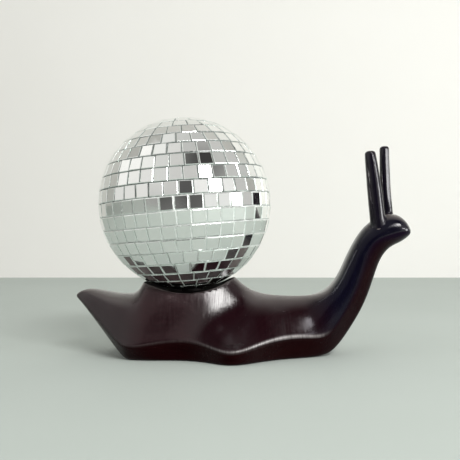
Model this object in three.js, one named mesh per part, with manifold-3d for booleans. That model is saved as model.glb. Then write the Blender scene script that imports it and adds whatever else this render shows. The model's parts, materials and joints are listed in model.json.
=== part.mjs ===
// Snail ornament: a carved wooden snail that carries a mirror ball as its shell.
// Millimetres, +Z up, +X towards the head. The origin is on the sole, straight below the ball's centre.
import * as THREE from "three";
import { mergeVertices } from "three/addons/utils/BufferGeometryUtils.js";
import Module from "manifold-3d";

// Mirror ball: the corners of its tiles lie on this diameter, and its pole axis leans towards the tail
const BALL_DIAMETER = 66;
const BALL_LEAN_DEGREES = 4.4;

// Seat: a hollow in the hump. An oval rest round the peg follows the ball, and a deeper dish runs round it
const SEAT_FLOOR_HEIGHT = 23.8;
const SEAT_GAP = 0.8;
const REST_LENGTH = 28;
const REST_WIDTH = 12;
const DISH_DIAMETER = 50.4;
const DISH_DEPTH = 2;
const DISH_FORWARD = 0.5;

// Mirror tiles, set in rows on flexible strips
const TILE_SIZE = 4.7;
const TILE_GAP = 0.4;
const TILE_THICKNESS = 1.5;
const STRIP_BACKING = 0.4;
const TOP_TILE_DIAMETER = 8.2;
const ROW_STAGGER = 0.38;

// Hollow core of the ball, in two halves with a lap joint at the equator
const STRIP_TO_SHELL_GAP = 0.5;
const SHELL_WALL = 2;
const LAP_HEIGHT = 3;
const LAP_GAP = 0.3;

// Dowel that stands in the seat and carries the ball
const PEG_DIAMETER = 8;
const PEG_GAP = 0.3;
const PEG_DEPTH_IN_BODY = 12;
const PEG_DEPTH_IN_BALL = 14;
const PEG_CHAMFER = 0.8;
const BOSS_WALL = 2;
const BARE_RING_WIDTH = 2.7;

// Tentacles: round pegs in sockets drilled in the head. section is a place along the body, counted in
// carved sections, side the offset from the middle plane, and lean the angle back from upright. The
// diameters are those at the foot, half way up and at the rounded tip.
const TENTACLES = {
  right_tentacle: {
    section: 25.2,
    side: -3.2,
    diameter: 5.8,
    middle: 5.5,
    tip: 3.9,
    length: 26.3,
    lean: 6.5,
  },
  left_tentacle: {
    section: 26.1,
    side: 3.6,
    diameter: 4,
    middle: 3.9,
    tip: 3.6,
    length: 27.2,
    lean: 3,
  },
};
const TENTACLE_TENON = 6;
const TENTACLE_GAP = 0.3;
const TENTACLE_END_RADIUS = 1.3;

// Carved body: control sections of a smooth loft, from the tail's tip to the nose. Each row holds the
// keel's x and z, the back's x and z, half the sole's width, half the width at the crest of the foot,
// the crest's rise above the keel, and how full the flank's shoulder is.
const BODY_SECTIONS = [
  [-41.9, 22.6, -41.9, 22.6, 0, 0, 0, 0.9],
  [-41.7, 21.6, -41.6, 23.1, 0.6, 1.2, 0.4, 0.9],
  [-40, 20.3, -39.8, 24.4, 2, 3, 0.6, 0.92],
  [-36.5, 17, -36.5, 25.2, 4.8, 6, 1.1, 0.94],
  [-31.5, 11.6, -31.5, 24.4, 8, 9.6, 1.8, 0.94],
  [-26, 5.4, -26, 23.3, 11.2, 13.6, 3.2, 0.92],
  [-22, 0.7, -22, 23.1, 12.6, 16, 5, 0.86],
  [-20, 0, -19.3, 23.2, 13.4, 17, 5.8, 0.84],
  [-17, 0, -17, 25.2, 14, 17.2, 5.7, 0.84],
  [-12.5, 0, -14.8, 30, 14.8, 16.8, 6.2, 0.86],
  [-6, 0, -8, 33.2, 14.8, 16, 7.4, 0.84],
  [1.5, 0, 1.5, 33.2, 14.8, 16, 7.8, 0.76],
  [9, 0, 10, 33, 18.4, 20, 6.4, 0.58],
  [16, 0, 16.8, 32.2, 24.6, 25.8, 4.7, 0.37],
  [22.5, 0, 20.9, 27.5, 22.2, 24, 5.6, 0.46],
  [29, 0, 26.5, 23.6, 17, 19.2, 7.2, 0.78],
  [36.5, 0, 34.5, 22.4, 12.6, 15, 8.6, 0.8],
  [45, 0, 42.5, 22.2, 9.8, 12, 8.9, 0.82],
  [52.8, 0, 48.7, 22.4, 6.6, 10, 8, 0.94],
  [57.5, 2.7, 53.3, 23.8, 5, 8.8, 8, 1],
  [63.4, 11, 56.8, 26.8, 4.4, 7.8, 7.4, 1],
  [68.8, 20.1, 59.7, 31.5, 4, 7, 6.6, 1],
  [71.9, 29, 61.9, 37, 3.8, 6.6, 6, 1],
  [74.4, 36.4, 64.6, 42.4, 3.8, 6.6, 5.6, 1],
  [78, 41.1, 67.5, 47.3, 3.8, 7, 5.2, 1],
  [82.3, 42.7, 71.3, 51.2, 3.8, 7.2, 3.4, 1],
  [85, 44.7, 78.2, 54.6, 3.6, 7.3, 1.6, 1],
  [86.1, 45.7, 83.3, 52.8, 2.4, 5.6, 1, 1],
  [86.3, 47, 86, 48.6, 1, 2.4, 0.4, 1],
  [86.5, 47.6, 86.5, 47.6, 0, 0, 0, 1],
];
// Between these sections the hull-like foot turns into the neck, part of the way towards an oval
const NECK_START = 17;
const NECK_END = 23;
const NECK_ROUNDNESS = 0.12;
const SHOULDER_POWER = 2.5;
const FLARE_POWER = 3;
// In front of the hump the flanks slope like a roof, then stand up to the neck and round off to the head
const ROOF_START = 12.6;
const ROOF_FULL = 14.6;
const ROOF_POWER = 1.75;
const RISE_START = 17.4;
const RISE_FULL = 19.2;
const NECK_POWER = 3.4;
const HEAD_START = 22.5;
const HEAD_FULL = 25;

// Fineness of the faceted surfaces
const RINGS_PER_SECTION = 2;
const SOLE_STEPS = 2;
const WALL_STEPS = 3;
const FLANK_STEPS = 9;
const SEAT_SEGMENTS = 48;
const TURNED_SEGMENTS = 24;
const QUARTER_ARC_STEPS = 6;
const SAME_POINT = 1e-4;

// Sizes that follow from those above
const ballRadius = BALL_DIAMETER / 2;
const seatRadius = ballRadius + SEAT_GAP;
const ballHeight = SEAT_FLOOR_HEIGHT + seatRadius;
const grooveRadius = ballRadius - TILE_THICKNESS;
const stripRadius = grooveRadius - STRIP_BACKING;
const shellRadius = stripRadius - STRIP_TO_SHELL_GAP;
const pegRadius = PEG_DIAMETER / 2;
const pegBoreRadius = pegRadius + PEG_GAP;
const pegFoot = -seatRadius - PEG_DEPTH_IN_BODY;
const pegTop = -seatRadius + PEG_DEPTH_IN_BALL;

// The ball's own frame: its centre and its leaning pole axis
const ballFrame = new THREE.Matrix4()
  .makeRotationY(THREE.MathUtils.degToRad(-BALL_LEAN_DEGREES))
  .setPosition(0, 0, ballHeight);

const wasm = await Module();
wasm.setup();

// Joins coincident points of a surface and drops the triangles that this leaves empty
function weld(geometry) {
  const bare = new THREE.BufferGeometry();
  bare.setAttribute("position", geometry.getAttribute("position"));
  bare.setIndex(geometry.index);
  const welded = mergeVertices(bare, SAME_POINT);
  const corners = welded.index.array;
  const kept = [];
  for (let i = 0; i < corners.length; i += 3) {
    const [a, b, c] = corners.slice(i, i + 3);
    if (a !== b && b !== c && c !== a) kept.push(a, b, c);
  }
  welded.setIndex(kept);
  return welded;
}

function surface(points, triangles) {
  const geometry = new THREE.BufferGeometry();
  geometry.setFromPoints(points);
  geometry.setIndex(triangles.flat());
  return weld(geometry);
}

const quad = (a, b, c, d) => [a, b, c, a, c, d];

// A turned shape about the Z axis, from a profile of [radius, height] points
function turned(profile) {
  const points = profile.map(([radius, height]) => new THREE.Vector2(radius, height));
  return weld(new THREE.LatheGeometry(points, TURNED_SEGMENTS).rotateX(Math.PI / 2));
}

// A round cutter along Z between two heights
function roundCutter(radius, low, high) {
  const cutter = new THREE.CylinderGeometry(radius, radius, high - low, TURNED_SEGMENTS);
  return cutter.rotateX(Math.PI / 2).translate(0, 0, (low + high) / 2);
}

// Profile points on a circle about the origin, between two angles above the horizontal
function arc(radius, from, to) {
  const steps = Math.ceil((Math.abs(to - from) / (Math.PI / 2)) * QUARTER_ARC_STEPS);
  return Array.from({ length: steps + 1 }, (_, i) => {
    const angle = from + ((to - from) * i) / steps;
    return [radius * Math.cos(angle), radius * Math.sin(angle)];
  });
}

function toSolid(geometry) {
  const welded = weld(geometry);
  return new wasm.Manifold(
    new wasm.Mesh({
      numProp: 3,
      vertProperties: welded.getAttribute("position").array,
      triVerts: new Uint32Array(welded.index.array),
    }),
  );
}

// Cuts each cutter out of a body and gives the rest back as a geometry
function cutAway(body, cutters) {
  const mesh = cutters.reduce((rest, cutter) => rest.subtract(toSolid(cutter)), toSolid(body)).getMesh();
  const geometry = new THREE.BufferGeometry();
  geometry.setAttribute("position", new THREE.BufferAttribute(mesh.vertProperties, mesh.numProp));
  geometry.setIndex(new THREE.BufferAttribute(mesh.triVerts, 1));
  return geometry;
}

// Carved body

// One column of the section table at a place along the body, on a uniform cubic B-spline
function sectionValue(column, place) {
  const last = BODY_SECTIONS.length - 1;
  const value = (k) => BODY_SECTIONS[k][column];
  const control = (k) => {
    if (k < 0) return 2 * value(0) - value(1);
    if (k > last) return 2 * value(last) - value(last - 1);
    return value(k);
  };
  const first = Math.min(Math.floor(place), last - 1);
  const t = place - first;
  const weights = [(1 - t) ** 3, 3 * t ** 3 - 6 * t ** 2 + 4, -3 * t ** 3 + 3 * t ** 2 + 3 * t + 1, t ** 3];
  return weights.reduce((sum, weight, i) => sum + weight * control(first - 1 + i), 0) / 6;
}

// How square the flank's curve is at a place along the body
function flankPower(place) {
  const roof = THREE.MathUtils.smoothstep(place, ROOF_START, ROOF_FULL);
  const rise = THREE.MathUtils.smoothstep(place, RISE_START, RISE_FULL);
  const head = THREE.MathUtils.smoothstep(place, HEAD_START, HEAD_FULL);
  const foot = THREE.MathUtils.lerp(SHOULDER_POWER, ROOF_POWER, roof);
  const neck = THREE.MathUtils.lerp(foot, NECK_POWER, rise);
  return THREE.MathUtils.lerp(neck, SHOULDER_POWER, head);
}

// Half of a section's outline as [half width, share of the way from keel to back]
function halfOutline(soleWidth, crestWidth, crestShare, shoulder, power) {
  const outline = [];
  for (let i = 0; i < SOLE_STEPS; i++) {
    outline.push([(soleWidth * i) / SOLE_STEPS, 0]);
  }
  for (let i = 0; i < WALL_STEPS; i++) {
    const up = i / WALL_STEPS;
    outline.push([soleWidth + (crestWidth - soleWidth) * up, crestShare * up]);
  }
  for (let i = 0; i <= FLANK_STEPS; i++) {
    const up = Math.sin(((i / FLANK_STEPS) * Math.PI) / 2);
    const full = (1 - Math.min(up, 1) ** power) ** (1 / power);
    const flare = (1 - up) ** FLARE_POWER;
    const width = crestWidth * (shoulder * full + (1 - shoulder) * flare);
    outline.push([width, crestShare + (1 - crestShare) * up]);
  }
  return outline;
}

// The section at a place along the body, as points from the keel up the left side to the back
function carvedSection(place) {
  const values = BODY_SECTIONS[0].map((_, column) => sectionValue(column, place));
  const [keelX, keelZ, backX, backZ, soleWidth, crestWidth, crestRise, shoulder] = values;
  const height = Math.hypot(backX - keelX, backZ - keelZ);
  const crestShare = height > 0 ? crestRise / height : 0;
  const outline = halfOutline(soleWidth, crestWidth, crestShare, shoulder, flankPower(place));
  const roundness = NECK_ROUNDNESS * THREE.MathUtils.smoothstep(place, NECK_START, NECK_END);
  return outline.map(([width, up], i) => {
    const angle = Math.PI * (i / (outline.length - 1) - 0.5);
    const y = THREE.MathUtils.lerp(width, crestWidth * Math.cos(angle), roundness);
    const share = THREE.MathUtils.lerp(up, 0.5 + 0.5 * Math.sin(angle), roundness);
    const x = THREE.MathUtils.lerp(keelX, backX, share);
    const z = THREE.MathUtils.lerp(keelZ, backZ, share);
    return new THREE.Vector3(x, y, z);
  });
}

// How far up the flank is, as a share, where its width falls to a share of the crest's width
const flankHeight = (width) => (1 - width ** SHOULDER_POWER) ** (1 / SHOULDER_POWER);

// Where the head's upper surface lies at a section and a side offset
function headSurface(place, side) {
  const values = BODY_SECTIONS[0].map((_, column) => sectionValue(column, place));
  const [keelX, keelZ, backX, backZ, , crestWidth, crestRise] = values;
  const crestShare = crestRise / Math.hypot(backX - keelX, backZ - keelZ);
  const width = Math.abs(side) / crestWidth;
  const carved = crestShare + (1 - crestShare) * flankHeight(width);
  const oval = 0.5 + 0.5 * Math.sqrt(1 - width ** 2);
  const share = THREE.MathUtils.lerp(carved, oval, NECK_ROUNDNESS);
  const x = THREE.MathUtils.lerp(keelX, backX, share);
  const z = THREE.MathUtils.lerp(keelZ, backZ, share);
  return new THREE.Vector3(x, side, z);
}

function carvedLoft() {
  const ringCount = (BODY_SECTIONS.length - 1) * RINGS_PER_SECTION + 1;
  const points = [];
  for (let ring = 0; ring < ringCount; ring++) {
    const left = carvedSection(ring / RINGS_PER_SECTION);
    const right = left.slice(1, -1).reverse().map((p) => new THREE.Vector3(p.x, -p.y, p.z));
    points.push(...left, ...right);
  }
  const around = points.length / ringCount;
  const triangles = [];
  for (let ring = 0; ring < ringCount - 1; ring++) {
    for (let i = 0; i < around; i++) {
      const here = ring * around + i;
      const next = ring * around + ((i + 1) % around);
      triangles.push(quad(here, next, next + around, here + around));
    }
  }
  return surface(points, triangles);
}

function tentacleFrame({ section, side, lean }) {
  const foot = headSurface(section, side);
  return new THREE.Matrix4().makeRotationY(THREE.MathUtils.degToRad(-lean)).setPosition(foot);
}

const ballCutter = (radius) => new THREE.SphereGeometry(radius, SEAT_SEGMENTS, SEAT_SEGMENTS / 2);

// The deeper dish round the oval rest
function seatDish() {
  const radius = DISH_DIAMETER / 2;
  const floor = SEAT_FLOOR_HEIGHT - DISH_DEPTH;
  const rest = roundCutter(1, 0, ballHeight);
  rest.scale(REST_LENGTH / 2, REST_WIDTH / 2, 1);
  return cutAway(ballCutter(radius).translate(DISH_FORWARD, 0, floor + radius), [rest]);
}

function snailBody() {
  const seat = ballCutter(seatRadius).applyMatrix4(ballFrame);
  const pegHole = roundCutter(pegBoreRadius, pegFoot - PEG_GAP, -ballRadius);
  pegHole.applyMatrix4(ballFrame);
  const sockets = Object.values(TENTACLES).map((tentacle) => {
    const radius = tentacle.diameter / 2 + TENTACLE_GAP;
    const socket = roundCutter(radius, -TENTACLE_TENON - TENTACLE_GAP, TENTACLE_TENON);
    return socket.applyMatrix4(tentacleFrame(tentacle));
  });
  return cutAway(carvedLoft(), [seat, seatDish(), pegHole, ...sockets]);
}

function tentacleRod({ diameter, middle, tip, length }) {
  const foot = diameter / 2;
  const end = tip / 2 - TENTACLE_END_RADIUS;
  const rounded = arc(TENTACLE_END_RADIUS, 0, Math.PI / 2).map(([radius, height]) => [
    end + radius,
    length - TENTACLE_END_RADIUS + height,
  ]);
  const below = [[0, -TENTACLE_TENON], [foot, -TENTACLE_TENON], [foot, 0]];
  return turned([...below, [middle / 2, length / 2], ...rounded, [0, length]]);
}

// Mirror ball

function onSphere(radius, latitude, longitude) {
  const out = radius * Math.cos(latitude);
  return new THREE.Vector3(
    out * Math.cos(longitude),
    out * Math.sin(longitude),
    radius * Math.sin(latitude),
  );
}

const tileAngle = TILE_SIZE / ballRadius;
const gapAngle = TILE_GAP / ballRadius;
const rowPitch = tileAngle + gapAngle;
const topTileAngle = Math.asin(TOP_TILE_DIAMETER / 2 / ballRadius);
const firstRowTop = Math.PI / 2 - topTileAngle - gapAngle;
const bareRingAngle = Math.asin((pegBoreRadius + BARE_RING_WIDTH) / ballRadius);
const lowestRowEdge = bareRingAngle - Math.PI / 2;
const rowCount = Math.floor((firstRowTop - lowestRowEdge + gapAngle) / rowPitch);

// The rows from the top down: the latitudes of their edges, their tiles and where the first tile starts
const mirrorRows = Array.from({ length: rowCount }, (_, row) => {
  const top = firstRowTop - row * rowPitch;
  const bottom = top - tileAngle;
  const girth = 2 * Math.PI * ballRadius * Math.cos((top + bottom) / 2);
  const tiles = Math.round(girth / (TILE_SIZE + TILE_GAP));
  const start = (2 * Math.PI * ((row * ROW_STAGGER) % 1)) / tiles;
  return { top, bottom, tiles, start };
});

// One row: flat tiles round the ball on a closed strip, with a V groove between each tile and the next
function mirrorStrip({ top, bottom, tiles, start }) {
  const step = (2 * Math.PI) / tiles;
  const pointsPerTile = 8;
  const points = [];
  const triangles = [];
  for (let tile = 0; tile < tiles; tile++) {
    const groove = start + tile * step;
    for (const latitude of [top, bottom]) {
      const halfGap = Math.asin(TILE_GAP / 2 / (ballRadius * Math.cos(latitude)));
      points.push(
        onSphere(stripRadius, latitude, groove),
        onSphere(grooveRadius, latitude, groove),
        onSphere(ballRadius, latitude, groove + halfGap),
        onSphere(ballRadius, latitude, groove + step - halfGap),
      );
    }
    const here = tile * pointsPerTile;
    const next = ((tile + 1) % tiles) * pointsPerTile;
    const [topStrip, topGroove, topLeft, topRight] = [here, here + 1, here + 2, here + 3];
    const [lowStrip, lowGroove, lowLeft, lowRight] = [here + 4, here + 5, here + 6, here + 7];
    const [nextTopStrip, nextTopGroove, nextLowStrip, nextLowGroove] = [next, next + 1, next + 4, next + 5];
    triangles.push(
      quad(topLeft, lowLeft, lowRight, topRight),
      quad(topGroove, lowGroove, lowLeft, topLeft),
      quad(topRight, lowRight, nextLowGroove, nextTopGroove),
      quad(nextTopStrip, nextLowStrip, lowStrip, topStrip),
      quad(topStrip, topGroove, topLeft, topRight),
      quad(topStrip, topRight, nextTopGroove, nextTopStrip),
      quad(lowStrip, lowRight, lowLeft, lowGroove),
      quad(lowStrip, nextLowStrip, nextLowGroove, lowRight),
    );
  }
  return surface(points, triangles);
}

// The tile at the upper pole has a side for each tile of the first row
function topTile() {
  const radius = TOP_TILE_DIAMETER / 2;
  const thickness = TILE_THICKNESS + STRIP_BACKING;
  const top = ballRadius * Math.cos(topTileAngle);
  const underside = (radius * stripRadius) / ballRadius;
  const { tiles, start } = mirrorRows[0];
  const tile = new THREE.CylinderGeometry(radius, underside, thickness, tiles);
  tile.rotateX(Math.PI / 2).rotateZ(Math.PI / 2 + start);
  return tile.translate(0, 0, top - thickness / 2);
}

const shellInside = shellRadius - SHELL_WALL;
const lapMiddle = shellRadius - SHELL_WALL / 2;
const halfLapGap = LAP_GAP / 2;

function lowerShell() {
  const boreEdge = Math.asin(pegBoreRadius / shellRadius) - Math.PI / 2;
  const socketTop = pegTop + PEG_GAP;
  const bossRadius = pegBoreRadius + BOSS_WALL;
  const bossEdge = Math.asin(bossRadius / shellInside) - Math.PI / 2;
  const joint = -Math.asin(halfLapGap / shellRadius);
  return turned([
    [0, socketTop],
    [pegBoreRadius, socketTop],
    ...arc(shellRadius, boreEdge, joint),
    [lapMiddle - halfLapGap, -halfLapGap],
    [lapMiddle - halfLapGap, LAP_HEIGHT],
    [shellInside, LAP_HEIGHT],
    ...arc(shellInside, 0, bossEdge),
    [bossRadius, socketTop + BOSS_WALL],
    [0, socketTop + BOSS_WALL],
  ]);
}

function upperShell() {
  const recessTop = LAP_HEIGHT + LAP_GAP;
  const joint = Math.asin(halfLapGap / shellRadius);
  return turned([
    ...arc(shellInside, Math.PI / 2, Math.asin(recessTop / shellInside)),
    [lapMiddle + halfLapGap, recessTop],
    [lapMiddle + halfLapGap, halfLapGap],
    ...arc(shellRadius, joint, Math.PI / 2),
  ]);
}

function peg() {
  return turned([
    [0, pegFoot],
    [pegRadius - PEG_CHAMFER, pegFoot],
    [pegRadius, pegFoot + PEG_CHAMFER],
    [pegRadius, pegTop - PEG_CHAMFER],
    [pegRadius - PEG_CHAMFER, pegTop],
    [0, pegTop],
  ]);
}

// Finishes
const lacqueredWood = { color: 0x241517, roughness: 0.28, metalness: 0 };
const mirrorGlass = { color: 0xdfe3e2, roughness: 0.05, metalness: 1 };
const corePlastic = { color: 0xe4e2dc, roughness: 0.6, metalness: 0 };
const stainedWood = { color: 0x30261f, roughness: 0.7, metalness: 0 };

function addPiece(group, name, geometry, finish) {
  const mesh = new THREE.Mesh(geometry, new THREE.MeshStandardMaterial(finish));
  mesh.name = name;
  group.add(mesh);
  return mesh;
}

// Assembly
const ornament = new THREE.Group();
addPiece(ornament, "snail_body", snailBody(), lacqueredWood);
for (const [name, tentacle] of Object.entries(TENTACLES)) {
  const rod = addPiece(ornament, name, tentacleRod(tentacle), lacqueredWood);
  rod.applyMatrix4(tentacleFrame(tentacle));
}

const ball = new THREE.Group();
ball.applyMatrix4(ballFrame);
ornament.add(ball);
addPiece(ball, "ball_peg", peg(), stainedWood);
addPiece(ball, "ball_shell_lower", lowerShell(), corePlastic);
addPiece(ball, "ball_shell_upper", upperShell(), corePlastic);
addPiece(ball, "top_mirror_tile", topTile(), mirrorGlass);
mirrorRows.forEach((row, i) => {
  const name = `mirror_row_${String(i + 1).padStart(2, "0")}`;
  addPiece(ball, name, mirrorStrip(row), mirrorGlass);
});

export default ornament;
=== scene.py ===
import json
import math
import random

import bpy
import numpy as np
from mathutils import Matrix, Vector
from mathutils.bvhtree import BVHTree


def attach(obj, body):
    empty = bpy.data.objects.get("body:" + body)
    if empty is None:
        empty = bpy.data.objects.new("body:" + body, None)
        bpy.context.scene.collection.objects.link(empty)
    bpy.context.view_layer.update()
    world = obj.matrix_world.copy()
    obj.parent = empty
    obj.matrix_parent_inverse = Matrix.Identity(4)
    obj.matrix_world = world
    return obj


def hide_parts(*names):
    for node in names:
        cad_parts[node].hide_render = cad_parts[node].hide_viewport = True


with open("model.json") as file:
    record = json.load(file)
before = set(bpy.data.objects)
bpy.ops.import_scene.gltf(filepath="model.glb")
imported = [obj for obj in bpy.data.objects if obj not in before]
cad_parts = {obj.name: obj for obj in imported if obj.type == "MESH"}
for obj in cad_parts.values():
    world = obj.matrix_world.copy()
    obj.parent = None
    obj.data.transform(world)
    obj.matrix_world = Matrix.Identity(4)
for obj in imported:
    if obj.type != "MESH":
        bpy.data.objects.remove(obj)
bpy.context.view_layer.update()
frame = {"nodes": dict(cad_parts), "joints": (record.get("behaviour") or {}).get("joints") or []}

# The sizes below are in millimetres, and the meshes in metres
MM = 0.001

# Ball: a mosaic of square tiles in rows between two poles
BALL_RADIUS = 33.0
TILE_SIZE = 4.7
TILE_GAP = 0.4
TOP_TILE_RADIUS = 4.1
ROW_STAGGER = 0.38
STRIP_INNER_RADIUS = 31.1
JOINT_DEPTH = 0.42
STRIP_SEAM = 0.05
TILE_CHAMFER = 0.22
TILE_CHAMFER_DROP = 0.14
TILE_TILT_DEGREES = 1.5
TILE_CORNER_PLAY = 0.07

# Seat: a hollow in the hump, with an oval rest round the peg that follows the ball, in a deeper dish
SEAT_GAP = 0.8
DISH_DIAMETER = 50.4
DISH_DEPTH = 2.0
DISH_FORWARD = 0.5
REST_LENGTH, REST_WIDTH = 28.0, 12.0
SEAT_LIP = 0.5

# Carved body: keel x, keel z, back x, back z, sole half width, crest half width, crest rise, shoulder
BODY_SECTIONS = np.array([
    (-41.9, 22.6, -41.9, 22.6, 0.0, 0.0, 0.0, 0.90),
    (-41.7, 21.6, -41.6, 23.1, 0.6, 1.2, 0.4, 0.90),
    (-40.0, 20.3, -39.8, 24.4, 2.0, 3.0, 0.6, 0.92),
    (-36.5, 17.0, -36.5, 25.2, 4.8, 6.0, 1.1, 0.94),
    (-31.5, 11.6, -31.5, 24.4, 8.0, 9.6, 1.8, 0.94),
    (-26.0, 5.4, -26.0, 23.3, 11.2, 13.6, 3.2, 0.92),
    (-22.0, 0.7, -22.0, 23.1, 12.6, 16.0, 5.0, 0.86),
    (-20.0, 0.0, -19.3, 23.2, 13.4, 17.0, 5.8, 0.84),
    (-17.0, 0.0, -17.0, 25.2, 14.0, 17.2, 5.7, 0.84),
    (-12.5, 0.0, -14.8, 30.0, 14.8, 16.8, 6.2, 0.86),
    (-6.0, 0.0, -8.0, 33.2, 14.8, 16.0, 7.4, 0.84),
    (1.5, 0.0, 1.5, 33.2, 14.8, 16.0, 7.8, 0.76),
    (9.0, 0.0, 10.0, 33.0, 18.4, 20.0, 6.4, 0.58),
    (16.0, 0.0, 16.8, 32.2, 24.6, 25.8, 4.7, 0.37),
    (22.5, 0.0, 20.9, 27.5, 22.2, 24.0, 5.6, 0.46),
    (29.0, 0.0, 26.5, 23.6, 17.0, 19.2, 7.2, 0.78),
    (36.5, 0.0, 34.5, 22.4, 12.6, 15.0, 8.6, 0.80),
    (45.0, 0.0, 42.5, 22.2, 9.8, 12.0, 8.9, 0.82),
    (52.8, 0.0, 48.7, 22.4, 6.6, 10.0, 8.0, 0.94),
    (57.5, 2.7, 53.3, 23.8, 5.0, 8.8, 8.0, 1.00),
    (63.4, 11.0, 56.8, 26.8, 4.4, 7.8, 7.4, 1.00),
    (68.8, 20.1, 59.7, 31.5, 4.0, 7.0, 6.6, 1.00),
    (71.9, 29.0, 61.9, 37.0, 3.8, 6.6, 6.0, 1.00),
    (74.4, 36.4, 64.6, 42.4, 3.8, 6.6, 5.6, 1.00),
    (78.0, 41.1, 67.5, 47.3, 3.8, 7.0, 5.2, 1.00),
    (82.3, 42.7, 71.3, 51.2, 3.8, 7.2, 3.4, 1.00),
    (85.0, 44.7, 78.2, 54.6, 3.6, 7.3, 1.6, 1.00),
    (86.1, 45.7, 83.3, 52.8, 2.4, 5.6, 1.0, 1.00),
    (86.3, 47.0, 86.0, 48.6, 1.0, 2.4, 0.4, 1.00),
    (86.5, 47.6, 86.5, 47.6, 0.0, 0.0, 0.0, 1.00),
])
NECK_START, NECK_END, NECK_ROUNDNESS = 17, 23, 0.12
SHOULDER_POWER = 2.5
FLARE_POWER = 3
# In front of the hump the flanks slope like a roof, and then stand up to the neck
ROOF_START, ROOF_FULL, ROOF_POWER = 12.6, 14.6, 1.75
RISE_START, RISE_FULL, NECK_POWER = 17.4, 19.2, 3.4
HEAD_START, HEAD_FULL = 22.5, 25
SOLE_PART, WALL_PART, FLANK_PART = 2 / 14, 3 / 14, 9 / 14
# Edges are rounded by hand, and more so on the head
EDGE_SOFTNESS, HEAD_SOFTNESS = 1.0, 1.4
RINGS_PER_SECTION = 10
SOLE_POINTS, WALL_POINTS, FLANK_POINTS = 6, 9, 32

# Finish of the body, by place along the sections: red low edges, a painted highlight along the crest, neck
# sides and raised end
RED_DROP = (23.5, 26.5)
CREST_HIGHLIGHT_START, CREST_HIGHLIGHT_END = (11.5, 15), (16.8, 19)
NECK_SIDE_START, NECK_SIDE_END = (16.5, 18.5), (23.5, 25)
RAISED = (17, 20)
# Painted highlight along the crest: half width, and how far it shows behind the hump
CREST_HIGHLIGHT_WIDTH, CREST_HIGHLIGHT_BEHIND = 0.5, 0.06
# Painted reflection and shade in the gloss, by place: where a stretch starts to change, is full, is full for
# the last time and ends, along x
WARM_HUMP = (-22, -14, 0, 10)
DARK_FLANK = (0, 8, 30, 38)
DARK_SADDLE = (34, 41, 51, 57)
DARK_CHEEK = (68, 72, 78.5, 82.5)
# Heights between which the painted shade in the gloss fades out and the pale top film of dust and painted
# sheen fades in
DARK_TOP = (18.5, 22.5)
DUST_AND_SHEEN_BOTTOM = (15.5, 21.5)

# Tentacles: round pegs in the head
TENTACLES = {
    "right_tentacle": {"section": 25.20, "side": -3.2, "diameter": 5.8, "middle": 5.5, "tip": 3.9,
                       "length": 26.3, "lean": 6.5, "bow": 0.1, "flat": 1.0},
    "left_tentacle": {"section": 26.10, "side": 3.6, "diameter": 4.0, "middle": 3.9, "tip": 3.6,
                      "length": 27.2, "lean": 3.0, "bow": -0.34, "flat": 0.88},
}
TENTACLE_TENON = 6
TENTACLE_END_RADIUS = 1.3
TENTACLE_FILLET = 0.55
TENTACLE_SIDES = 48
# The left one is planed a little flat on the side that faces forward and right
TENTACLE_FLAT = math.radians(-63)

# The ball's own frame: its axis leans a little towards the tail
joint = frame["joints"][0]
ball_axis = Vector(joint["axis"])
ball_centre = Vector(joint["pos_m"])
ball_side = Vector((0, 1, 0)).cross(ball_axis)
ball_frame = Matrix((ball_side, Vector((0, 1, 0)), ball_axis)).transposed().to_4x4()
ball_frame.translation = ball_centre


def smoothstep(x, low, high):
    t = np.clip((x - low) / (high - low), 0, 1)
    return t * t * (3 - 2 * t)


# Materials

class Finish:
    """A node material round one principled surface."""

    def __init__(self, name):
        self.material = bpy.data.materials.new(name)
        self.material.use_nodes = True
        self.tree = self.material.node_tree
        self.surface = self.tree.nodes["Principled BSDF"]

    def put(self, socket, value):
        if isinstance(value, bpy.types.NodeSocket):
            self.tree.links.new(value, socket)
        else:
            socket.default_value = value

    def add(self, kind, inputs=None, **settings):
        node = self.tree.nodes.new(kind)
        for key, value in settings.items():
            setattr(node, key, value)
        for key, value in (inputs or {}).items():
            self.put(node.inputs[key], value)
        return node

    def set(self, **values):
        for key, value in values.items():
            self.put(self.surface.inputs[key.replace("_", " ")], value)

    def attribute(self, name, output="Fac"):
        return self.add("ShaderNodeAttribute", attribute_name=name).outputs[output]

    def place(self):
        return self.add("ShaderNodeTexCoord").outputs["Object"]

    def stretch(self, vector, scale):
        return self.add("ShaderNodeMapping", {"Vector": vector, "Scale": scale}).outputs["Vector"]

    def split(self, vector):
        return self.add("ShaderNodeSeparateXYZ", {"Vector": vector}).outputs

    def noise(self, vector, scale, detail=2.0, roughness=0.5):
        inputs = {"Vector": vector, "Scale": scale, "Detail": detail, "Roughness": roughness}
        return self.add("ShaderNodeTexNoise", inputs).outputs["Fac"]

    def remap(self, value, low, high, to_low=0.0, to_high=1.0):
        inputs = {"Value": value, "From Min": low, "From Max": high, "To Min": to_low, "To Max": to_high}
        return self.add("ShaderNodeMapRange", inputs).outputs["Result"]

    def math(self, operation, a, b=0.0):
        node = self.add("ShaderNodeMath", operation=operation)
        self.put(node.inputs[0], a)
        self.put(node.inputs[1], b)
        return node.outputs[0]

    def between(self, value, stretch):
        """One inside a stretch in millimetres, fading to nought outside it."""
        start, full, last_full, end = (x * MM for x in stretch)
        rising = self.remap(value, start, full)
        return self.math("MULTIPLY", rising, self.remap(value, last_full, end, 1.0, 0.0))

    def blend(self, factor, a, b):
        node = self.add("ShaderNodeMix", data_type="RGBA")
        self.put(node.inputs[0], factor)
        for socket, value in ((node.inputs[6], a), (node.inputs[7], b)):
            self.put(socket, value if isinstance(value, bpy.types.NodeSocket) else (*value, 1))
        return node.outputs[2]

    def bump(self, height, distance, strength=1.0, normal=None):
        inputs = {"Height": height, "Distance": distance, "Strength": strength}
        if normal is not None:
            inputs["Normal"] = normal
        return self.add("ShaderNodeBump", inputs).outputs["Normal"]


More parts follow.
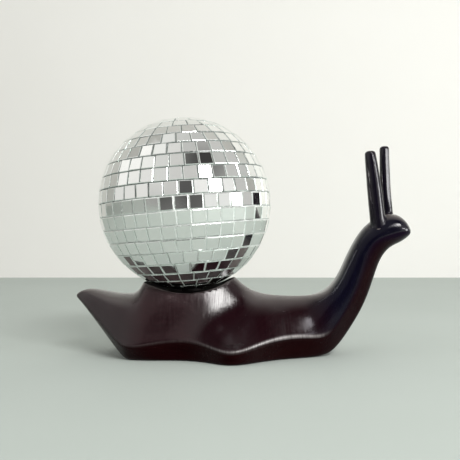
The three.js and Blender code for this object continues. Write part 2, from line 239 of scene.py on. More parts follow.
def lacquer():
    """Dark brown gloss lacquer brushed over carved wood, oxblood red in the low edges."""
    f = Finish("lacquer")
    carve = f.attribute("carve", "Vector")
    red = f.attribute("low_red")
    edge = f.attribute("crest_highlight")
    raised = f.attribute("raised")
    place = f.split(f.place())
    facing = f.split(f.add("ShaderNodeNewGeometry").outputs["Normal"])
    streaks = f.noise(f.stretch(carve, (2600, 110, 300)), 1, 3)
    fine = f.noise(f.stretch(carve, (5200, 260, 500)), 1, 2)
    grain = f.remap(f.noise(f.stretch(carve, (55, 900, 120)), 1, 4, 0.6), 0.3, 0.7)
    clouds = f.noise(f.place(), 70, 3)
    specks = f.remap(f.noise(f.place(), 1500, 1), 0.77, 0.82)

    # Brown, with a blue-black neck and head, red low edges, a painted highlight along the crest, specks, and
    # a pale film on top that is dust and painted sheen
    brown = f.blend(grain, (0.0076, 0.0015, 0.0027), (0.0112, 0.0026, 0.0042))
    black = f.blend(grain, (0.0020, 0.0016, 0.0062), (0.0030, 0.0026, 0.0086))
    oxblood = f.blend(grain, (0.0050, 0.0003, 0.0006), (0.0085, 0.0006, 0.0010))
    colour = f.blend(raised, brown, black)
    colour = f.blend(f.math("MULTIPLY", red, f.remap(clouds, 0.3, 0.7, 0.75, 1.0)), colour, oxblood)
    # Painted highlight: a pale line along the crest edge stands in for the window's glint there
    crest_glint = f.math("MULTIPLY", edge, f.remap(streaks, 0.3, 0.65, 0.35, 1.0))
    colour = f.blend(f.math("MULTIPLY", crest_glint, 0.85), colour, (0.42, 0.39, 0.39))
    colour = f.blend(f.math("MULTIPLY", specks, 0.25), colour, (0.09, 0.075, 0.075))
    # Dust and painted sheen: up-facing tops above a height are lightened, as dust and as a painted reflection
    # of the pale wall
    sheen_bottom, sheen_full = (z * MM for z in DUST_AND_SHEEN_BOTTOM)
    dust_and_painted_light = f.math("MULTIPLY", f.remap(facing["Z"], 0.58, 0.97), f.remap(place["Z"], sheen_bottom, sheen_full))
    dust_and_painted_light = f.math("MULTIPLY", dust_and_painted_light, f.remap(clouds, 0.3, 0.7, 0.8, 1.0))
    colour = f.blend(dust_and_painted_light, colour, (0.120, 0.105, 0.102))

    # Brush marks, uneven carving and specks in the gloss, which is finer on the neck and head
    rough = f.math("ADD", f.remap(clouds, 0.3, 0.7, 0.16, 0.22), f.remap(streaks, 0.3, 0.7, -0.05, 0.07))
    rough = f.math("MULTIPLY", rough, f.remap(raised, 0.0, 1.0, 1.0, 0.55))
    brushed = f.math("ADD", f.math("MULTIPLY", streaks, 0.7), f.math("MULTIPLY", fine, 0.3))
    normal = f.bump(brushed, 0.00008, 0.6)
    normal = f.bump(f.noise(f.place(), 170, 2), 0.00025, 0.5, normal)
    normal = f.bump(specks, 0.0001, 0.6, normal)

    # Painted reflection and shade in the gloss: a warm reflection painted on the hump, and reflections
    # painted dark on the low flanks, saddle, cheeks, neck sides, underneath and in the red
    gleam = f.blend(f.between(place["X"], WARM_HUMP), (1.0, 1.0, 1.0), (1.0, 0.78, 0.80))
    low_full, low_end = (z * MM for z in DARK_TOP)
    low = f.remap(place["Z"], low_full, low_end, 1.0, 0.0)
    # Painted shade: reflections darkened on the low flanks, the saddle and the cheeks
    flank = f.math("MULTIPLY", f.between(place["X"], DARK_FLANK), f.remap(facing["Z"], 0.41, 0.53))
    gleam = f.blend(f.math("MULTIPLY", flank, low), gleam, (0.08, 0.07, 0.08))
    saddle = f.math("MULTIPLY", f.between(place["X"], DARK_SADDLE), f.remap(facing["Z"], 0.10, 0.25))
    gleam = f.blend(f.math("MULTIPLY", saddle, low), gleam, (0.28, 0.27, 0.28))
    cheek = f.math("MULTIPLY", f.between(place["X"], DARK_CHEEK), f.remap(facing["Z"], 0.08, 0.20))
    gleam = f.blend(f.math("MULTIPLY", cheek, raised), gleam, (0.34, 0.34, 0.36))
    # Painted shade: reflections darkened on the neck's sides, on faces turned down and in the red
    sideways = f.remap(f.math("ABSOLUTE", facing["Y"]), 0.30, 0.80)
    gleam = f.blend(f.math("MULTIPLY", f.attribute("neck_side"), sideways), gleam, (0.30, 0.30, 0.34))
    below = f.blend(raised, (0.36, 0.34, 0.36), (0.24, 0.08, 0.15))
    gleam = f.blend(f.remap(facing["Z"], -0.16, 0.0), below, gleam)
    red_painted_shade = f.math("MULTIPLY", red, f.math("SUBTRACT", 1.0, edge))
    gleam = f.blend(red_painted_shade, gleam, (0.07, 0.03, 0.03))
    f.set(Base_Color=colour, Roughness=rough, Normal=normal, Specular_Tint=gleam)
    f.set(IOR=1.5, Specular_IOR_Level=0.5, Sheen_Weight=0.04, Sheen_Roughness=0.35)
    return f.material


def seat_painted_shade():
    """The hollow under the ball: wood painted near-black and matte as the shade under the ball."""
    f = Finish("seat_painted_shade")
    grain = f.noise(f.stretch(f.place(), (90, 900, 900)), 1, 4, 0.6)
    colour = f.blend(f.remap(grain, 0.3, 0.7), (0.0030, 0.0022, 0.0022), (0.0075, 0.0055, 0.0052))
    rough = f.remap(grain, 0.3, 0.7, 0.85, 0.95)
    f.set(Base_Color=colour, Roughness=rough, Normal=f.bump(grain, 0.0001, 0.4), Specular_IOR_Level=0.05)
    return f.material


def mirror_face():
    """Silvered glass with a cool tint, each tile a shade of its own."""
    f = Finish("mirror_face")
    tone = f.attribute("tile_tone")
    smudge = f.noise(f.place(), 240, 4, 0.6)
    tint = f.blend(tone, (0.84, 0.86, 0.845), (0.93, 0.935, 0.92))
    colour = f.blend(f.remap(smudge, 0.5, 0.8, 0.0, 0.2), tint, (0.70, 0.72, 0.70))
    rough = f.math("ADD", f.remap(smudge, 0.45, 0.8, 0.015, 0.10), f.remap(tone, 0.0, 1.0, 0.0, 0.03))
    normal = f.bump(f.noise(f.place(), 200, 1), 0.00002, 0.12)
    f.set(Base_Color=colour, Metallic=1.0, Roughness=rough, Normal=normal)
    return f.material


def cut_glass():
    """The tiles' cut edges: silvered glass that mirrors softly, with small chips."""
    f = Finish("cut_glass")
    chips = f.noise(f.place(), 1300, 3, 0.6)
    colour = f.blend(f.remap(chips, 0.35, 0.65), (0.80, 0.86, 0.83), (0.95, 0.97, 0.96))
    normal = f.bump(chips, 0.00008, 0.5)
    f.set(Base_Color=colour, Metallic=1.0, Roughness=f.remap(chips, 0.3, 0.7, 0.12, 0.3), Normal=normal)
    return f.material


def joint_filler():
    """White adhesive between the tiles, mottled with dust, and painted grey as shade on the upper half."""
    f = Finish("joint_filler")
    dust_and_painted_light = f.noise(f.place(), 520, 4, 0.6)
    lit_share = f.attribute("joint_lit_share")
    white = f.blend(f.remap(dust_and_painted_light, 0.35, 0.7), (0.80, 0.82, 0.80), (0.93, 0.94, 0.925))
    painted_shade_grey = f.blend(f.remap(dust_and_painted_light, 0.35, 0.7), (0.12, 0.135, 0.13), (0.30, 0.32, 0.31))
    lit_share = f.math("ADD", lit_share, f.remap(dust_and_painted_light, 0.3, 0.7, -0.25, 0.25))
    colour = f.blend(f.remap(lit_share, 0.25, 0.75), painted_shade_grey, white)
    f.set(Base_Color=colour, Roughness=f.remap(dust_and_painted_light, 0.3, 0.7, 0.6, 0.85), Normal=f.bump(dust_and_painted_light, 0.0001, 0.5))
    return f.material


def core_plastic():
    """Pale moulded plastic with a fine sparked grain."""
    f = Finish("core_plastic")
    grain = f.noise(f.place(), 2200, 2)
    cloud = f.noise(f.place(), 60, 2)
    colour = f.blend(f.remap(cloud, 0.3, 0.7), (0.72, 0.71, 0.68), (0.80, 0.79, 0.76))
    normal = f.bump(grain, 0.00005, 0.4)
    f.set(Base_Color=colour, Roughness=f.remap(grain, 0.3, 0.7, 0.45, 0.6), Normal=normal)
    return f.material


def peg_wood():
    """Turned dowel with straight grain, painted nearly black as the shade in the gap where it shows."""
    f = Finish("peg_wood")
    grain = f.noise(f.stretch(f.place(), (1200, 1200, 90)), 1, 4, 0.6)
    colour = f.blend(f.remap(grain, 0.3, 0.7), (0.010, 0.007, 0.006), (0.022, 0.015, 0.012))
    f.set(Base_Color=colour, Roughness=f.remap(grain, 0.3, 0.7, 0.5, 0.7), Normal=f.bump(grain, 0.0001, 0.4))
    return f.material


LACQUER = lacquer()
SEAT_PAINTED_SHADE = seat_painted_shade()
MIRROR = [mirror_face(), cut_glass(), joint_filler()]


def new_piece(name, points, faces, materials, body, node, smooth=True):
    """A mesh piece from points in metres, riding on a body in place of a CAD node."""
    mesh = bpy.data.meshes.new(name)
    mesh.from_pydata([tuple(p) for p in points], [], faces)
    for material in materials:
        mesh.materials.append(material)
    mesh.polygons.foreach_set("use_smooth", [smooth] * len(faces))
    mesh.update()
    piece = bpy.data.objects.new(name, mesh)
    bpy.context.scene.collection.objects.link(piece)
    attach(piece, body)
    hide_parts(node)
    return piece


def add_values(mesh, name, kind, domain, values):
    layer = mesh.attributes.new(name, kind, domain)
    key = "vector" if kind == "FLOAT_VECTOR" else "value"
    layer.data.foreach_set(key, np.asarray(values, np.float32).ravel())


# Carved body

padded_sections = np.vstack([
    2 * BODY_SECTIONS[0] - BODY_SECTIONS[1],
    BODY_SECTIONS,
    2 * BODY_SECTIONS[-1] - BODY_SECTIONS[-2],
])


def section_at(place):
    """The section table at a place along the body, on a uniform cubic B-spline."""
    first = min(int(place), len(BODY_SECTIONS) - 2)
    t = place - first
    weights = np.array([(1 - t) ** 3, 3 * t**3 - 6 * t**2 + 4, -3 * t**3 + 3 * t**2 + 3 * t + 1, t**3]) / 6
    return weights @ padded_sections[first:first + 4]


def half_outline(place, steps=160):
    """A section's left half from keel to back, and its lengths up to the sole's edge and the crest."""
    keel_x, keel_z, back_x, back_z, sole, crest, rise, shoulder = section_at(place)
    height = math.hypot(back_x - keel_x, back_z - keel_z)
    crest_share = rise / height if height > 0 else 0
    t = np.linspace(0, 1, steps)
    up = np.sin(t * math.pi / 2).clip(0, 1)
    power = SHOULDER_POWER + (ROOF_POWER - SHOULDER_POWER) * smoothstep(place, ROOF_START, ROOF_FULL)
    power = power + (NECK_POWER - ROOF_POWER) * smoothstep(place, RISE_START, RISE_FULL)
    power = power + (SHOULDER_POWER - NECK_POWER) * smoothstep(place, HEAD_START, HEAD_FULL)
    full = (1 - up**power).clip(0, 1) ** (1 / power)
    flank = crest * (shoulder * full + (1 - shoulder) * (1 - up) ** FLARE_POWER)
    width = np.concatenate([sole * t[:-1], (sole + (crest - sole) * t)[:-1], flank])
    share = np.concatenate([0 * t[:-1], (crest_share * t)[:-1], crest_share + (1 - crest_share) * up])
    way = np.concatenate([
        SOLE_PART * t[:-1],
        (SOLE_PART + WALL_PART * t)[:-1],
        SOLE_PART + WALL_PART + FLANK_PART * t,
    ])
    angle = math.pi * (way - 0.5)
    roundness = NECK_ROUNDNESS * smoothstep(place, NECK_START, NECK_END)
    width = width + (crest * np.cos(angle) - width) * roundness
    share = share + (0.5 + 0.5 * np.sin(angle) - share) * roundness
    points = np.stack([keel_x + (back_x - keel_x) * share, width, keel_z + (back_z - keel_z) * share], 1)
    lengths = np.concatenate([[0], np.cumsum(np.linalg.norm(np.diff(points, axis=0), axis=1))])
    return points, lengths, lengths[steps - 1], lengths[2 * steps - 2]


def softened(points, lengths, at, radius):
    """The outline at some lengths, with its edges rounded: each point is the mean within a radius."""
    mirror = np.array([1, -1, 1])
    end = lengths[-1]
    p = np.concatenate([points[::-1][:-1] * mirror, points, points[::-1][1:] * mirror])
    s = np.concatenate([-lengths[::-1][:-1], lengths, 2 * end - lengths[::-1][1:]])
    area = np.concatenate([[[0, 0, 0]], np.cumsum((p[1:] + p[:-1]) / 2 * np.diff(s)[:, None], axis=0)])
    reach = max(min(radius, end * 0.12), 1e-6)
    high = np.stack([np.interp(at + reach, s, area[:, k]) for k in range(3)], 1)
    low = np.stack([np.interp(at - reach, s, area[:, k]) for k in range(3)], 1)
    return (high - low) / (2 * reach)


def sample_lengths(sole_end, crest_end, end):
    """Lengths along a half outline, closer together at its edges."""
    sole = sole_end * np.linspace(0, 1, SOLE_POINTS + 1)[:-1] ** 0.7
    wall = 0.5 - 0.5 * np.cos(math.pi * np.linspace(0, 1, WALL_POINTS + 1)[:-1])
    flank = np.linspace(0, 1, FLANK_POINTS + 1) ** 1.35
    wall = sole_end + (crest_end - sole_end) * wall
    return np.concatenate([sole, wall, crest_end + (end - crest_end) * flank])


def clear_of_sphere(points, centre, radius):
    """Points that would lie inside a sphere are moved out onto it, with a rounded lip."""
    away = points - centre
    distance = np.linalg.norm(away, axis=1)
    out = distance - radius
    kept = (out + np.sqrt(out**2 + SEAT_LIP**2)) / 2
    scale = np.where(np.abs(out) < 20, (radius + kept) / distance, 1)
    return centre + away * scale[:, None]


def seat_hollow(points):
    """The seat for the ball: a rest in the middle that follows it, in a deeper dish."""
    middle = np.array(ball_centre) / MM
    rest_radius, dish_radius = BALL_RADIUS + SEAT_GAP, DISH_DIAMETER / 2
    floor = middle[2] - rest_radius - DISH_DEPTH
    rest = clear_of_sphere(points, middle, rest_radius)
    dish = clear_of_sphere(rest, np.array([DISH_FORWARD, 0, floor + dish_radius]), dish_radius)
    oval = np.hypot(points[:, 0] / REST_LENGTH, points[:, 1] / REST_WIDTH) * 2
    return rest + (dish - rest) * smoothstep(oval, 0.9, 1.15)[:, None]


def section_marks(place, around, crest_end):
    """The lacquer's values round one ring: red below the crest, a painted highlight along the crest, neck and
    raised end.
    """
    fade = 0.5 + 2.0 * smoothstep(place, NECK_START, NECK_END)
    red_top = crest_end * (1 - 0.5 * smoothstep(place, *RED_DROP))
    crest_glint = CREST_HIGHLIGHT_BEHIND + (1 - CREST_HIGHLIGHT_BEHIND) * smoothstep(place, *CREST_HIGHLIGHT_START)
    crest_glint = crest_glint * (1 - smoothstep(place, *CREST_HIGHLIGHT_END))
    neck = smoothstep(place, *NECK_SIDE_START) - smoothstep(place, *NECK_SIDE_END)
    return {
        "low_red": 1 - smoothstep(around, red_top - fade, red_top + fade),
        "crest_highlight": crest_glint * np.exp(-(((around - crest_end) / CREST_HIGHLIGHT_WIDTH) ** 2)),
        "neck_side": np.full(len(around), neck),
        "raised": np.full(len(around), smoothstep(place, *RAISED)),
    }


def carved_body():
    count = (len(BODY_SECTIONS) - 1) * RINGS_PER_SECTION
    rings, carve, marks = [], [], []
    along = 0.0
    last_middle = None
    for ring in range(1, count):
        place = ring / RINGS_PER_SECTION
        points, lengths, sole_end, crest_end = half_outline(place)
        at = sample_lengths(sole_end, crest_end, lengths[-1])
        left = softened(points, lengths, at, EDGE_SOFTNESS + HEAD_SOFTNESS * smoothstep(place, 20, 24))
        middle = (left[0] + left[-1]) / 2
        along += 0 if last_middle is None else float(np.linalg.norm(middle - last_middle))
        last_middle = middle
        right = left[1:-1][::-1] * np.array([1, -1, 1])
        rings.append(np.concatenate([left, right]))
        around = np.concatenate([at, at[1:-1][::-1]])
        carve.append(np.stack([np.full(len(around), along), around, rings[-1][:, 1] * 0.4], 1))
        marks.append(section_marks(place, around, crest_end))
    around = len(rings[0])
    tail = section_at(0)
    nose = section_at(len(BODY_SECTIONS) - 1)
    points = np.concatenate([*rings, [[tail[0], 0, tail[1]]], [[nose[0], 0, nose[1]]]])
    faces = []
    for ring in range(len(rings) - 1):
        for i in range(around):
            here, beyond = ring * around + i, ring * around + (i + 1) % around
            faces.append((here, beyond, beyond + around, here + around))
    first, last = len(points) - 2, (len(rings) - 1) * around
    for i in range(around):
        faces.append((first, (i + 1) % around, i))
        faces.append((first + 1, last + i, last + (i + 1) % around))
    carved = seat_hollow(points)
    hollow = np.linalg.norm(carved - points, axis=1) > SEAT_LIP
    points = carved
    points[:, 2] = points[:, 2].clip(0)
    # Painted shade: the hollow under the ball is near-black
    finishes = [LACQUER, SEAT_PAINTED_SHADE]
    piece = new_piece("carved_body", points * MM, faces, finishes, "snail", "snail_body")
    piece.data.polygons.foreach_set("material_index", [int(all(hollow[list(face)])) for face in faces])
    carve = np.concatenate([*carve, [[0, 0, 0]], [[along, 0, 0]]])
    add_values(piece.data, "carve", "FLOAT_VECTOR", "POINT", carve * MM)
    ends = {"low_red": [1, 0], "crest_highlight": [0, 0], "neck_side": [0, 0], "raised": [0, 1]}
    for name, tips in ends.items():
        values = np.concatenate([*(mark[name] for mark in marks), tips])
        add_values(piece.data, name, "FLOAT", "POINT", values)
    return piece


body = carved_body()
body_tree = BVHTree.FromObject(body, bpy.context.evaluated_depsgraph_get())


# Tentacles

def tentacle_frame(spec):
    keel_x, keel_z, back_x, back_z, _, crest, rise, _ = section_at(spec["section"])
    crest_share = rise / math.hypot(back_x - keel_x, back_z - keel_z)
    out = abs(spec["side"]) / crest
    flank = crest_share + (1 - crest_share) * (1 - out**SHOULDER_POWER) ** (1 / SHOULDER_POWER)
    oval = 0.5 + 0.5 * math.sqrt(1 - out**2)
    share = flank + (oval - flank) * NECK_ROUNDNESS
    foot = Vector((keel_x + (back_x - keel_x) * share, spec["side"], keel_z + (back_z - keel_z) * share))
    return Matrix.Translation(foot * MM) @ Matrix.Rotation(math.radians(-spec["lean"]), 4, "Y")


def tentacle(name, spec, seed):
    """A hand-turned rod with a rounded end, let into the head with a small fillet of lacquer at its foot."""
    rng = random.Random(seed)
    place = tentacle_frame(spec)
    foot, half, tip, length = spec["diameter"] / 2, spec["middle"] / 2, spec["tip"] / 2, spec["length"]
    angles = [2 * math.pi * i / TENTACLE_SIDES for i in range(TENTACLE_SIDES)]
    down = (place.to_3x3() @ Vector((0, 0, -1))).normalized()
    ground = []
    for angle in angles:
        reach = foot + TENTACLE_FILLET
        start = place @ (Vector((reach * math.cos(angle), reach * math.sin(angle), 12)) * MM)
        hit = body_tree.ray_cast(start, down)[0]
        ground.append((place.inverted() @ hit).z / MM if hit is not None else 0.0)
    heights = [-0.5, -0.2, 0, 0.15, 0.35, 0.6, 0.9, 1.3, 1.8, 2.5, 3.4, 4.6]
    straight = length - TENTACLE_END_RADIUS
    heights += list(np.linspace(6, straight, 22))
    wave = [rng.uniform(0, 2 * math.pi) for _ in range(4)]

    def rod_radius(height, angle):
        share = min(max(height / length, 0), 1)
        radius = foot + (half - foot) * 2 * share if share < 0.5 else half + (tip - half) * (2 * share - 1)
        turned = max(math.cos(angle - TENTACLE_FLAT), 0.1)
        radius = min(radius, radius + (spec["flat"] * radius / turned - radius) * smoothstep(height, 2, 8))
        wobble = 0.035 * math.sin(height * 0.42 + wave[0])
        wobble += 0.03 * math.sin(2 * angle + wave[1] + height * 0.1)
        return radius + wobble * min(1, max(0, height) / 4)

    rings = [[(foot, -TENTACLE_TENON)] * TENTACLE_SIDES, [(foot, -3.0)] * TENTACLE_SIDES]
    for height in heights:
        fillet = TENTACLE_FILLET * math.exp(-max(height, 0) / 0.55)
        fade = 1 - smoothstep(height, 0, 6)
        rings.append([(rod_radius(height, a) + fillet, height + g * fade) for a, g in zip(angles, ground)])
    for turn in np.linspace(0, math.pi / 2, 9)[1:]:
        drop = TENTACLE_END_RADIUS * (1 - math.cos(turn))
        height = straight + TENTACLE_END_RADIUS * math.sin(turn)
        rings.append([(rod_radius(straight, a) - drop, height) for a in angles])
    points, carve = [], []
    for ring in rings:
        for angle, (radius, height) in zip(angles, ring):
            bow = spec["bow"] * math.sin(math.pi * min(max(height / length, 0), 1))
            local = Vector((radius * math.cos(angle) + bow, radius * math.sin(angle), height))
            points.append(place @ (local * MM))
            carve.append((radius * angle * MM, height * MM, local.y * 0.4 * MM))
    bottom, top = len(points), len(points) + 1
    points += [place @ Vector((0, 0, -TENTACLE_TENON * MM)), place @ Vector((0, 0, length * MM))]
    carve += [(0, -TENTACLE_TENON * MM, 0), (0, length * MM, 0)]
    faces = []
    sides = TENTACLE_SIDES
    for ring in range(len(rings) - 1):
        for i in range(sides):
            j = (i + 1) % sides
            faces.append((ring * sides + i, ring * sides + j, (ring + 1) * sides + j, (ring + 1) * sides + i))
    last = (len(rings) - 1) * sides
    for i in range(sides):
        j = (i + 1) % sides
        faces.append((bottom, j, i))
        faces.append((top, last + i, last + j))
    piece = new_piece(name + "_rod", points, faces, [LACQUER], "snail", name)
    add_values(piece.data, "carve", "FLOAT_VECTOR", "POINT", carve)
    for mark, value in {"low_red": 0.15, "crest_highlight": 0.0, "neck_side": 0.0, "raised": 1.0}.items():
        add_values(piece.data, mark, "FLOAT", "POINT", [value] * len(points))
    return piece


for seed, (name, spec) in enumerate(TENTACLES.items()):
    tentacle(name, spec, seed)


# Mirror ball

class TileStrip:
    """A closed strip of glass tiles that stand on a backing, with shallow filled joints between them."""

    def __init__(self, lit_share):
        self.points, self.faces, self.kinds, self.tones = [], [], [], []
        self.lit_share = lit_share

    def point(self, p):
        self.points.append(ball_frame @ (Vector(p) * MM))
        return len(self.points) - 1

    def face(self, corners, kind, tone=0.5):
        self.faces.append(tuple(corners))
        self.kinds.append(kind)
        self.tones.append(tone)

    def tile(self, corners, cell, rng):
        """One tile on its cell of backing. Both run round anticlockwise, seen from outside."""
        corners = [Vector(c) for c in corners]
        centre = sum(corners, Vector()) / len(corners)
        normal = centre.normalized()
        east = Vector((0, 0, 1)).cross(normal)
        east = east.normalized() if east.length > 1e-6 else Vector((1, 0, 0))
        north = normal.cross(east)
        tilt = Matrix.Rotation(math.radians(rng.gauss(0, TILE_TILT_DEGREES * 0.6)), 3, east)
        tilt = tilt @ Matrix.Rotation(math.radians(rng.gauss(0, TILE_TILT_DEGREES * 0.6)), 3, north)
        tilt = tilt @ Matrix.Rotation(math.radians(rng.gauss(0, 0.5)), 3, normal)
        play = TILE_CORNER_PLAY
        full = []
        for corner in corners:
            moved = corner - centre + east * rng.uniform(-play, play) + north * rng.uniform(-play, play)
            full.append(tilt @ moved)
        upright = tilt @ normal
        inner = []
        for i, o in enumerate(full):
            before = (full[i - 1] - o).normalized()
            after = (full[(i + 1) % len(full)] - o).normalized()
            inner.append(o + (before + after) * TILE_CHAMFER)
        excess = max((centre + o).length for o in inner) - BALL_RADIUS
        centre = centre - normal * max(0, excess + 0.005)
        tone = rng.random()
        base = [self.point(centre + o - upright * JOINT_DEPTH) for o in full]
        rim = [self.point(centre + o - upright * TILE_CHAMFER_DROP) for o in full]
        top = [self.point(centre + o) for o in inner]
        for i in range(len(full)):
            j = (i + 1) % len(full)
            self.face((cell[i], cell[j], base[j], base[i]), 2)
            self.face((base[i], base[j], rim[j], rim[i]), 1, tone)
            self.face((rim[i], rim[j], top[j], top[i]), 1, tone)
        self.face(top, 0, tone)

    def piece(self, name, node):
        made = new_piece(name, self.points, self.faces, MIRROR, "ball", node, smooth=False)
        made.data.polygons.foreach_set("material_index", self.kinds)
        add_values(made.data, "tile_tone", "FLOAT", "FACE", self.tones)
        add_values(made.data, "joint_lit_share", "FLOAT", "FACE", [self.lit_share] * len(self.tones))
        return made


def on_ball(latitude, longitude, radius):
    flat = radius * math.cos(latitude)
    return (flat * math.cos(longitude), flat * math.sin(longitude), radius * math.sin(latitude))


tile_angle = TILE_SIZE / BALL_RADIUS
gap_angle = TILE_GAP / BALL_RADIUS
row_pitch = tile_angle + gap_angle
top_tile_angle = math.asin(TOP_TILE_RADIUS / BALL_RADIUS)
first_row_top = math.pi / 2 - top_tile_angle - gap_angle
backing_radius = BALL_RADIUS - JOINT_DEPTH - 0.12
seam = (TILE_GAP - STRIP_SEAM) / 2 / BALL_RADIUS


def row_tiles(row):
    middle = first_row_top - row * row_pitch - tile_angle / 2
    return round(2 * math.pi * BALL_RADIUS * math.cos(middle) / (TILE_SIZE + TILE_GAP))


def row_start(row):
    return 2 * math.pi * ((row * ROW_STAGGER) % 1) / row_tiles(row)


def mirror_row(row, node):
    rng = random.Random(100 + row)
    top = first_row_top - row * row_pitch
    bottom = top - tile_angle
    # Painted shade: the joint filler is grey on the upper half of the ball and white below
    strip = TileStrip(1 - smoothstep((top + bottom) / 2, -0.2, 0.35))
    tiles = row_tiles(row)
    turns = [row_start(row) + 2 * math.pi * i / tiles for i in range(tiles)]
    high = [strip.point(on_ball(top + seam, turn, backing_radius)) for turn in turns]
    low = [strip.point(on_ball(bottom - seam, turn, backing_radius)) for turn in turns]
    high_in = [strip.point(on_ball(top + seam, turn, STRIP_INNER_RADIUS)) for turn in turns]
    low_in = [strip.point(on_ball(bottom - seam, turn, STRIP_INNER_RADIUS)) for turn in turns]
    half_top = math.asin(TILE_GAP / 2 / (BALL_RADIUS * math.cos(top)))
    half_bottom = math.asin(TILE_GAP / 2 / (BALL_RADIUS * math.cos(bottom)))
    for i in range(tiles):
        j = (i + 1) % tiles
        start, end = turns[i], turns[i] + 2 * math.pi / tiles
        corners = [
            on_ball(bottom, start + half_bottom, BALL_RADIUS),
            on_ball(bottom, end - half_bottom, BALL_RADIUS),
            on_ball(top, end - half_top, BALL_RADIUS),
            on_ball(top, start + half_top, BALL_RADIUS),
        ]
        strip.tile(corners, [low[i], low[j], high[j], high[i]], rng)
        strip.face((high[i], high[j], high_in[j], high_in[i]), 2)
        strip.face((low[j], low[i], low_in[i], low_in[j]), 2)
        strip.face((low_in[j], low_in[i], high_in[i], high_in[j]), 2)
    return strip.piece(node.replace("row", "tiles"), node)


def top_tile(node):
    rng = random.Random(99)
    # Painted shade: the top tile's joint filler is grey
    strip = TileStrip(0.0)
    latitude = math.pi / 2 - top_tile_angle
    tiles = row_tiles(0)
    turns = [row_start(0) + 2 * math.pi * i / tiles for i in range(tiles)]
    cell = [strip.point(on_ball(latitude - seam, turn, backing_radius)) for turn in turns]
    under = [strip.point(on_ball(latitude - seam, turn, STRIP_INNER_RADIUS)) for turn in turns]
    strip.tile([on_ball(latitude, turn, BALL_RADIUS) for turn in turns], cell, rng)
    for i in range(tiles):
        j = (i + 1) % tiles
        strip.face((cell[j], cell[i], under[i], under[j]), 2)
    strip.face(under[::-1], 2)
    return strip.piece("top_tile", node)


for row, node in enumerate(sorted(n for n in frame["nodes"] if n.startswith("mirror_row_"))):
    mirror_row(row, node)
top_tile("top_mirror_tile")

# The hidden core and its peg keep their solids
for node, material in (
    ("ball_shell_lower", core_plastic()),
    ("ball_shell_upper", core_plastic()),
    ("ball_peg", peg_wood()),
):
    frame["nodes"][node].data.materials.clear()
    frame["nodes"][node].data.materials.append(material)


# Stage, lights and camera

def stage_plane(name, low, high, material):
    """A flat sheet between two opposite corners, level or upright."""
    corners = [low, (high[0], *low[1:]), high, (low[0], *high[1:])]
    mesh = bpy.data.meshes.new(name)
    mesh.from_pydata(corners, [], [(0, 1, 2, 3)])
    mesh.materials.append(material)
    plane = bpy.data.objects.new(name, mesh)
    bpy.context.scene.collection.objects.link(plane)
    return plane


def stage_finish(name, low, high, roughness):
    f = Finish(name)
    cloud = f.noise(f.place(), 9, 3)
    f.set(Base_Color=f.blend(f.remap(cloud, 0.3, 0.7), low, high), Roughness=roughness)
    return f.material


STAGE_SIDE, FLOOR_FRONT, FLOOR_BACK = 2, -0.62, 0.39
floor_finish = stage_finish("floor", (0.435, 0.485, 0.455), (0.455, 0.505, 0.475), 0.8)
wall_finish = stage_finish("wall", (0.855, 0.843, 0.810), (0.870, 0.858, 0.826), 0.9)
stage_plane("floor", (-STAGE_SIDE, FLOOR_FRONT, 0), (STAGE_SIDE, FLOOR_BACK, 0), floor_finish)
stage_plane("wall", (-STAGE_SIDE, FLOOR_BACK, 0), (STAGE_SIDE, FLOOR_BACK, STAGE_SIDE), wall_finish)


def toward(azimuth, elevation, distance, middle=(0.012, -0.01, 0.03)):
    """A place seen from the object at an angle right of the camera and above the horizon."""
    a, e = math.radians(azimuth), math.radians(elevation)
    away = Vector((math.sin(a) * math.cos(e), -math.cos(a) * math.cos(e), math.sin(e)))
    return Vector(middle) + away * distance


def softbox(name, azimuth, elevation, distance, width, height, radiance, colour=(1, 1, 1)):
    """A soft rectangular lamp of a given brightness, aimed at the object."""
    lamp = bpy.data.lights.new(name, "AREA")
    lamp.shape = "RECTANGLE"
    lamp.size, lamp.size_y = width, height
    lamp.energy = radiance * math.pi * width * height
    lamp.color = colour
    box = bpy.data.objects.new(name, lamp)
    box.location = toward(azimuth, elevation, distance)
    box.rotation_euler = (toward(0, 0, 0) - box.location).to_track_quat("-Z", "Y").to_euler()
    bpy.context.scene.collection.objects.link(box)


softbox("window", 28, 39, 0.75, 0.29, 0.14, 27.0, (1, 0.99, 0.97))
softbox("window_pane", 45, 21, 1.0, 0.125, 0.108, 30.0)
softbox("window_low", 69, 10, 1.0, 0.30, 0.32, 11.4)
softbox("window_wall", 52, 14, 1.05, 0.95, 0.66, 0.3)

world = bpy.data.worlds.new("studio")
world.use_nodes = True
bpy.context.scene.world = world
tree = world.node_tree
background = tree.nodes["Background"]
direction = tree.nodes.new("ShaderNodeTexCoord").outputs["Generated"]


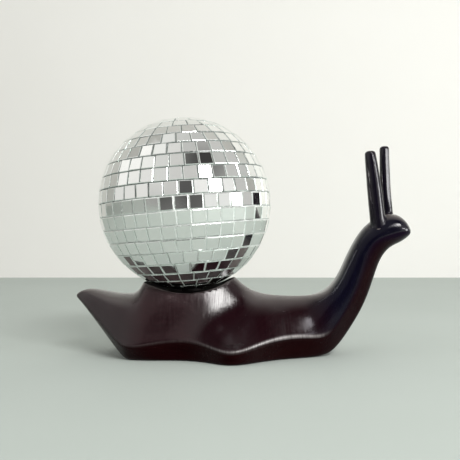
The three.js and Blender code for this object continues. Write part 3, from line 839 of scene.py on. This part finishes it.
def world_math(operation, a, b=0.0):
    node = tree.nodes.new("ShaderNodeMath")
    node.operation = operation
    for socket, value in zip(node.inputs, (a, b)):
        if isinstance(value, bpy.types.NodeSocket):
            tree.links.new(value, socket)
        else:
            socket.default_value = value
    return node.outputs[0]


def world_patch(azimuth, elevation, inner, outer):
    """One inside a round patch of the room, and nought outside it, in degrees from its middle."""
    node = tree.nodes.new("ShaderNodeVectorMath")
    node.operation = "DOT_PRODUCT"
    tree.links.new(direction, node.inputs[0])
    node.inputs[1].default_value = toward(azimuth, elevation, 1, (0, 0, 0))
    soft = tree.nodes.new("ShaderNodeMapRange")
    soft.interpolation_type = "SMOOTHSTEP"
    tree.links.new(node.outputs["Value"], soft.inputs["Value"])
    soft.inputs["From Min"].default_value = math.cos(math.radians(outer))
    soft.inputs["From Max"].default_value = math.cos(math.radians(inner))
    return soft.outputs["Result"]


# The room: an even level, with brighter and darker round patches, each an azimuth, an elevation,
# an inner and an outer radius in degrees, and a change of level
ROOM = 0.60
ROOM_PATCHES = (
    (-70, 22, 25, 60, 0.20),
    (-105, 50, 15, 45, 0.25),
    (-32, 2, 6, 17, -0.40),
    (-10, 2, 8, 18, -0.35),
    (10, 10, 10, 22, -0.50),
    (42, 53, 11, 21, -0.60),
)
level = ROOM
for *patch, change in ROOM_PATCHES:
    level = world_math("ADD", level, world_math("MULTIPLY", world_patch(*patch), change))
level = world_math("MAXIMUM", level, 0.05)
shade = tree.nodes.new("ShaderNodeCombineColor")
tree.links.new(level, shade.inputs["Red"])
tree.links.new(world_math("MULTIPLY", level, 0.99), shade.inputs["Green"])
tree.links.new(world_math("MULTIPLY", level, 0.96), shade.inputs["Blue"])
tree.links.new(shade.outputs["Color"], background.inputs["Color"])

camera_data = bpy.data.cameras.new("camera")
camera_data.lens = 49.93
camera_data.sensor_width = 36
camera_data.clip_start = 0.01
camera = bpy.data.objects.new("camera", camera_data)
camera.location = (0.0172, -0.246, 0.0475)
camera.rotation_euler = (math.pi / 2, 0, 0)
bpy.context.scene.collection.objects.link(camera)
bpy.context.scene.camera = camera
bpy.context.scene.view_settings.view_transform = "Standard"
